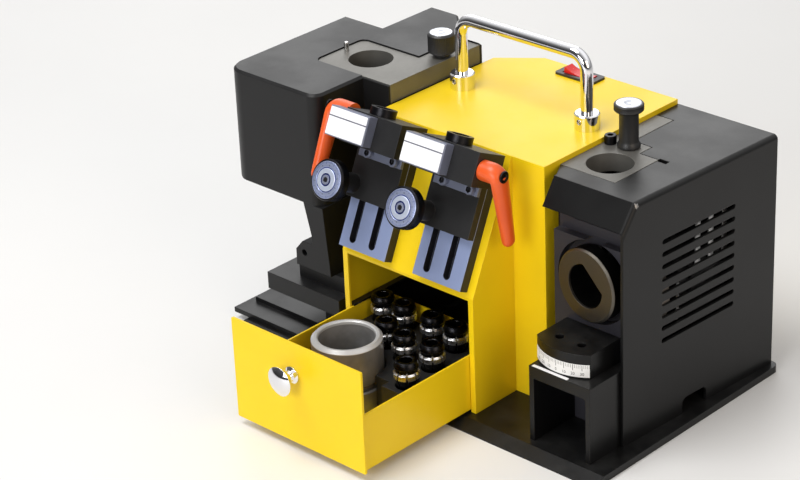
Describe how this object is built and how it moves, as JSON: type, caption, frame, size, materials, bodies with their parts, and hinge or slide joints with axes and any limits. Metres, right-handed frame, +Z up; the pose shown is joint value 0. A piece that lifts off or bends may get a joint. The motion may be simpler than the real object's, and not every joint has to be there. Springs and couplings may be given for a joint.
{
  "type": "drill and end mill grinder",
  "caption": "Bench grinder for drills and end mills: yellow middle housing with collet drawer and setting gauges, black grinding heads with chuck ports on both sides.",
  "frame": {"origin": "on the bench under the base plate, in the middle of the machine's width", "axes": "+X to the right as the drawer is faced, +Y to the back, +Z up"},
  "size_m": [0.4025, 0.3501, 0.272],
  "materials": {
    "black_paint": "satin black enamel",
    "black_casting": "fine textured black enamel on a casting",
    "yellow_paint": "gloss yellow enamel",
    "chrome_plate": "bright chrome",
    "ground_steel": "ground steel",
    "spindle_steel": "ground steel",
    "black_oxide": "black oxide",
    "anodised_black": "black anodised",
    "anodised_grey": "blue-grey anodised",
    "dial_face": "satin, graduated",
    "motor_alloy": "bare alloy",
    "wheel_body": "bonded abrasive rim on an alloy body",
    "orange_plastic": "moulded",
    "black_plastic": "moulded",
    "red_plastic": "moulded",
    "capacitor_can": "bare can"
  },
  "bodies": {
    "machine": {"base_plate": "black_paint", "center_housing": "yellow_paint", "rear_cover": "yellow_paint", "power_inlet": "black_plastic", "run_capacitors": "capacitor_can", "carry_handle": "chrome_plate", "handle_collars": "chrome_plate", "switch_body": "black_plastic", "drawer_runners": "black_paint", "left_head_casing": "black_casting", "left_bottom_plate": "black_paint", "left_bearing_plate": "spindle_steel", "left_motor": "motor_alloy", "left_port_plate": "ground_steel", "left_stop_pin": "spindle_steel", "left_column": "black_casting", "left_pedestal": "black_casting", "left_foot_block": "black_casting", "right_casing": "black_paint", "right_face_plate": "black_paint", "right_motor": "motor_alloy", "right_port_plate": "ground_steel", "right_arc_scale": "black_paint", "right_stand": "black_paint", "left_gauge_rail": "anodised_grey", "right_gauge_rail": "anodised_grey"},
    "rocker": {"switch_rocker": "red_plastic"},
    "drawer": {"drawer_tray": "yellow_paint", "drawer_front": "yellow_paint", "drawer_knob": "chrome_plate", "collet_rack": "black_plastic", "collets": "black_oxide", "chuck_body": "spindle_steel", "chuck_nut": "spindle_steel"},
    "left_knob": {"left_port_knob": "black_plastic"},
    "right_knob": {"right_port_knob": "black_plastic"},
    "left_wheel_set": {"left_spindle": "spindle_steel", "left_wheel": "wheel_body", "left_wheel_nut": "spindle_steel"},
    "right_wheel_set": {"right_spindle": "spindle_steel", "right_wheel": "wheel_body", "right_wheel_nut": "spindle_steel"},
    "swivel": {"right_swivel_port": "ground_steel"},
    "left_gauge": {"left_gauge_slider": "anodised_black", "left_gauge_clamp_bar": "anodised_grey", "left_gauge_cap_screws": "black_oxide", "left_gauge_scale_bracket": "anodised_grey", "left_gauge_guide_bush": "black_oxide"},
    "left_dial": {"left_gauge_dial": "dial_face"},
    "left_lever": {"left_gauge_lever": "orange_plastic"},
    "right_gauge": {"right_gauge_slider": "anodised_black", "right_gauge_clamp_bar": "anodised_grey", "right_gauge_cap_screws": "black_oxide", "right_gauge_scale_bracket": "anodised_grey", "right_gauge_guide_bush": "black_oxide"},
    "right_dial": {"right_gauge_dial": "dial_face"},
    "right_lever": {"right_gauge_lever": "orange_plastic"}
  },
  "joints": [
    {"name": "rocker_tilt", "type": "hinge", "parent": "machine", "child": "rocker", "pos_m": [0.0103, 0.1032, 0.207], "axis": [0, 1, 0], "range_deg": [-18, 0]},
    {"name": "drawer_slide", "type": "slide", "parent": "machine", "child": "drawer", "axis": [0, 1, 0], "range_m": [-0.007, 0.117]},
    {"name": "left_knob_turn", "type": "hinge", "parent": "machine", "child": "left_knob", "pos_m": [-0.081, 0.04, 0.2234], "axis": [0, 0, 1], "continuous": true},
    {"name": "right_knob_turn", "type": "hinge", "parent": "machine", "child": "right_knob", "pos_m": [0.12, 0.0285, 0.204], "axis": [0, 0, 1], "continuous": true},
    {"name": "left_wheel_spin", "type": "hinge", "parent": "machine", "child": "left_wheel_set", "pos_m": [-0.151, -0.009, 0.169], "axis": [0, 1, 0], "continuous": true},
    {"name": "right_wheel_spin", "type": "hinge", "parent": "machine", "child": "right_wheel_set", "pos_m": [0.147, -0.009, 0.11], "axis": [0, 1, 0], "continuous": true},
    {"name": "swivel_turn", "type": "hinge", "parent": "machine", "child": "swivel", "pos_m": [0.14857, -0.03508, 0.128], "axis": [0, 0, 1], "range_deg": [-2, 8]},
    {"name": "left_gauge_slide", "type": "slide", "parent": "machine", "child": "left_gauge", "axis": [0, 0.4219, 0.9066], "range_m": [-0.03, 0.004]},
    {"name": "left_dial_turn", "type": "hinge", "parent": "left_gauge", "child": "left_dial", "pos_m": [-0.0633, -0.09741, 0.16737], "axis": [0, -0.9066, 0.4219], "range_deg": [-180, 180]},
    {"name": "left_lever_swing", "type": "hinge", "parent": "left_gauge", "child": "left_lever", "pos_m": [-0.0673, -0.07574, 0.2163], "axis": [1, 0, 0], "range_deg": [-80, 25]},
    {"name": "right_gauge_slide", "type": "slide", "parent": "machine", "child": "right_gauge", "axis": [0, 0.4219, 0.9066], "range_m": [-0.03, 0.004]},
    {"name": "right_dial_turn", "type": "hinge", "parent": "right_gauge", "child": "right_dial", "pos_m": [0.0153, -0.09741, 0.16737], "axis": [0, -0.9066, 0.4219], "range_deg": [-180, 180]},
    {"name": "right_lever_swing", "type": "hinge", "parent": "right_gauge", "child": "right_lever", "pos_m": [0.0688, -0.07911, 0.20904], "axis": [1, 0, 0], "range_deg": [-109, 11]}
  ]
}
